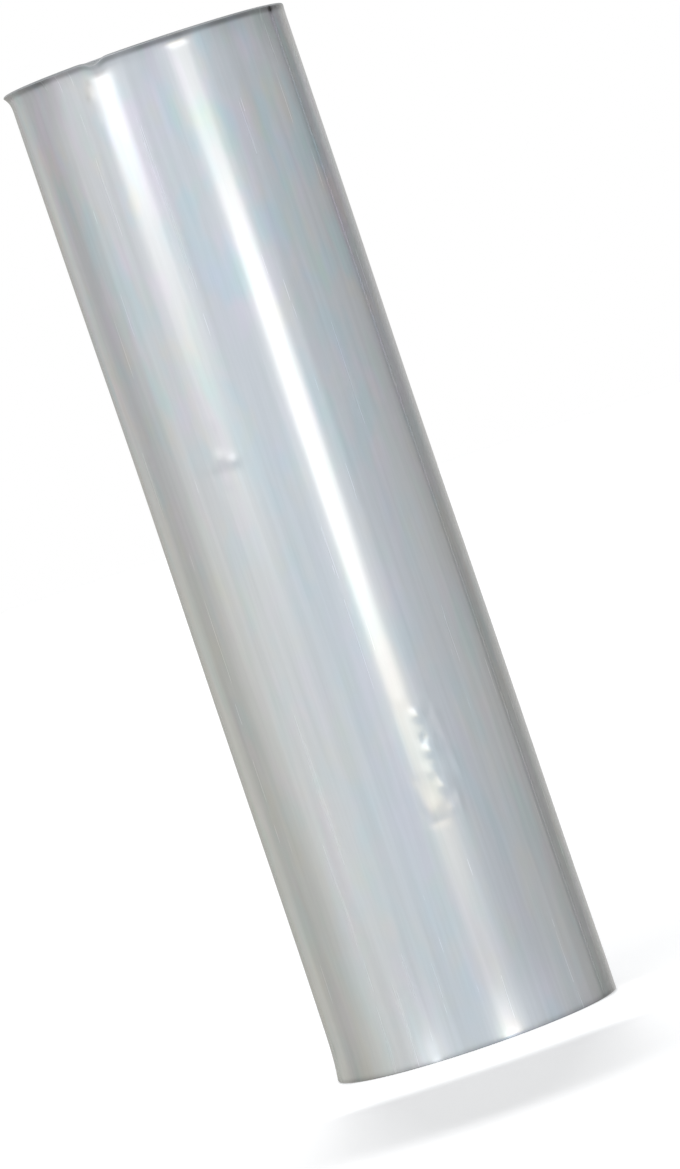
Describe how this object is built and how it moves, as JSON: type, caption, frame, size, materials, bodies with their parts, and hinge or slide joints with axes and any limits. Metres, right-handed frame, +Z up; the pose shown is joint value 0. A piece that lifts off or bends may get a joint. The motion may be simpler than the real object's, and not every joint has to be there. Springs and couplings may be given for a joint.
{
  "type": "roll of polyethylene film",
  "caption": "Cylindrical roll of clear plastic packing film, wound tight on a paper core tube and standing on its end.",
  "frame": {"origin": "centre of the roll's bottom end, on the axis, in the plane that it stands on", "axes": "+Z up along the roll's axis, -Y towards the viewer of the picture"},
  "size_m": [0.1278, 0.1276, 0.45],
  "materials": {
    "clear_film": "glossy clear film in many turns, silvery grey",
    "core_paper": "brown spiral-wound paper tube"
  },
  "bodies": {
    "root": {"film_roll": "clear_film", "core_tube": "core_paper"}
  },
  "joints": []
}
